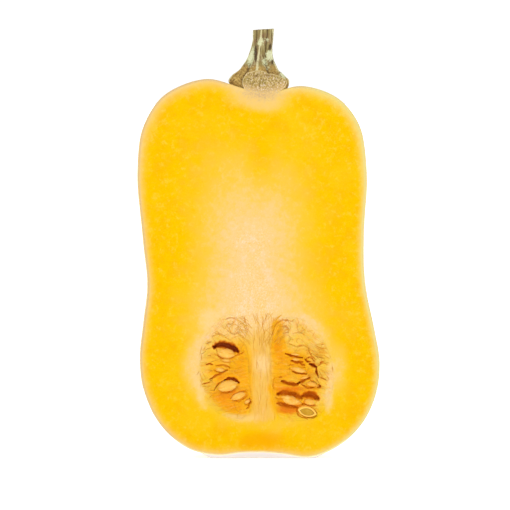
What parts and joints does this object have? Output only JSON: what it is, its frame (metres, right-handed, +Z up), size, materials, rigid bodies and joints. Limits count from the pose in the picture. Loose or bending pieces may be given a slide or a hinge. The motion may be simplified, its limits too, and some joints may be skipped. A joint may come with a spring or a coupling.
{
  "type": "half butternut squash",
  "caption": "Butternut squash cut lengthwise, golden flesh and two seed chambers facing forward, short ribbed stalk on top, standing on its blossom end.",
  "frame": {"origin": "on the table, under the middle of the object's box", "axes": "+Z up along the fruit to its stalk, -Y out of the cut face, +X to the right of someone who looks at the cut face"},
  "size_m": [0.117, 0.065, 0.2066],
  "materials": {
    "flesh": "moist satin",
    "stalk": "matt",
    "pulp": "wet",
    "seed": "satin"
  },
  "bodies": {
    "root": {"squash_half": "flesh", "stalk": "stalk", "pulp_left": "pulp", "pulp_right": "pulp", "seeds_left": "seed", "seeds_right": "seed"}
  },
  "joints": []
}
